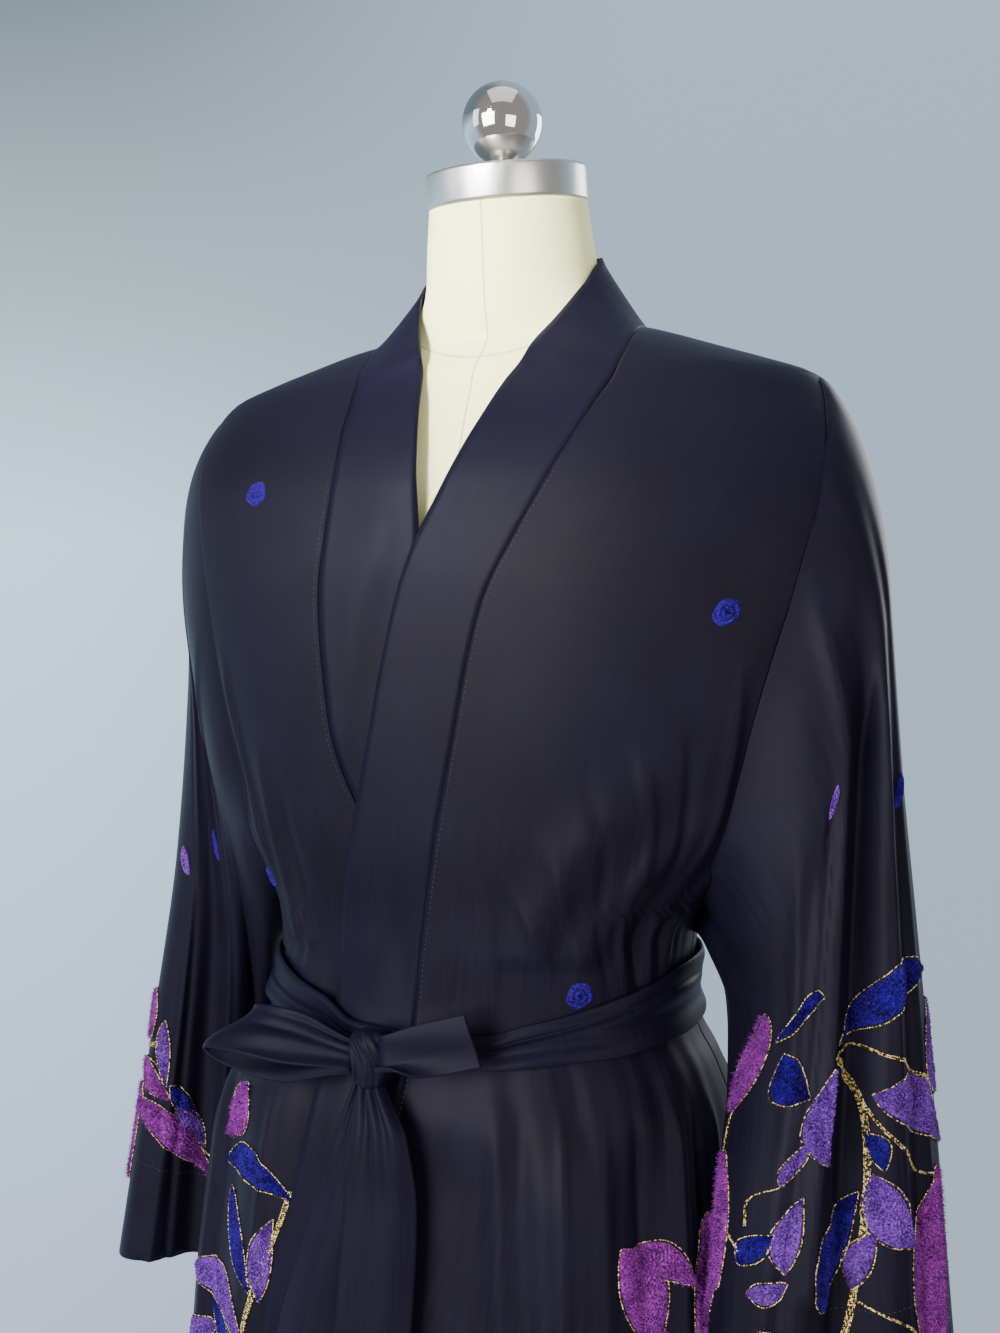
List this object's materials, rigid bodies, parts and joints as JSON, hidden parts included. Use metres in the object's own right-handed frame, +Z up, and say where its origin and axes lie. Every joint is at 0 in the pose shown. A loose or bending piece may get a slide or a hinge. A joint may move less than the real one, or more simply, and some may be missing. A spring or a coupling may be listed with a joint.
{
  "type": "kimono robe on a limbless dress form with stand",
  "caption": "Wrap-front kimono robe in thin dark cloth with a wide band and tied sash, worn by a limbless dress form on a round-based stand.",
  "frame": {"origin": "on the floor under the pole, at the middle of the base's underside", "axes": "+Z up, the front faces -Y, the wearer's left is +X"},
  "size_m": [0.6155, 0.33, 1.5791],
  "materials": {
    "robe_cloth": "dark navy crepe with a soft sheen",
    "band_cloth": "bluer navy crepe, folded double",
    "linen_cover": "cream linen drawn over the form",
    "cap_steel": "brushed round its rim",
    "ball_chrome": "polished",
    "pole_steel": "satin",
    "base_iron": "satin dark paint"
  },
  "bodies": {
    "root": {"back": "robe_cloth", "front_left": "robe_cloth", "front_right": "robe_cloth", "sleeve_left": "robe_cloth", "sleeve_right": "robe_cloth", "band_left": "band_cloth", "band_right": "band_cloth", "sash_wrap": "band_cloth", "sash_knot": "band_cloth", "sash_loop": "band_cloth", "sash_end_short": "band_cloth", "sash_tail_front": "band_cloth", "sash_tail_back": "band_cloth", "form_torso": "linen_cover", "neck_cap": "cap_steel", "neck_ball": "ball_chrome", "stand_pole": "pole_steel", "stand_base": "base_iron"}
  },
  "joints": []
}
